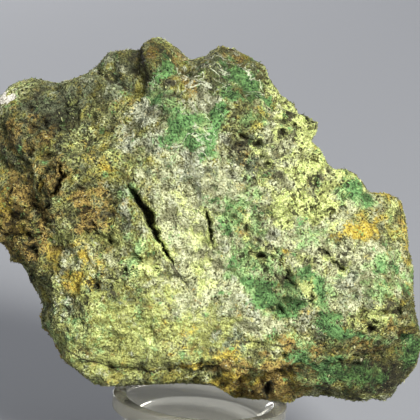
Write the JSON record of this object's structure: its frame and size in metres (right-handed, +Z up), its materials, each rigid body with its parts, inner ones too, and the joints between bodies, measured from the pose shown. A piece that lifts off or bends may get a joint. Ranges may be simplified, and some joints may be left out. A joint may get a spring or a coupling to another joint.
{
  "type": "mineral specimen on ring stand",
  "caption": "Rough lump of bayldonite, green and yellow-green crust over pale vein rock with fissures and pits, resting on a clear waisted display ring.",
  "frame": {"origin": "middle of the footprint box, at the foot of the ring stand", "axes": "+Z up, -Y toward the front of the specimen, +X to the right seen from that front"},
  "size_m": [0.0636, 0.0384, 0.0614],
  "materials": {
    "mineral": "rough, crumbly, matt",
    "clear_ring": "clear, polished"
  },
  "bodies": {
    "root": {"bayldonite_rock": "mineral", "ring_stand": "clear_ring"}
  },
  "joints": []
}
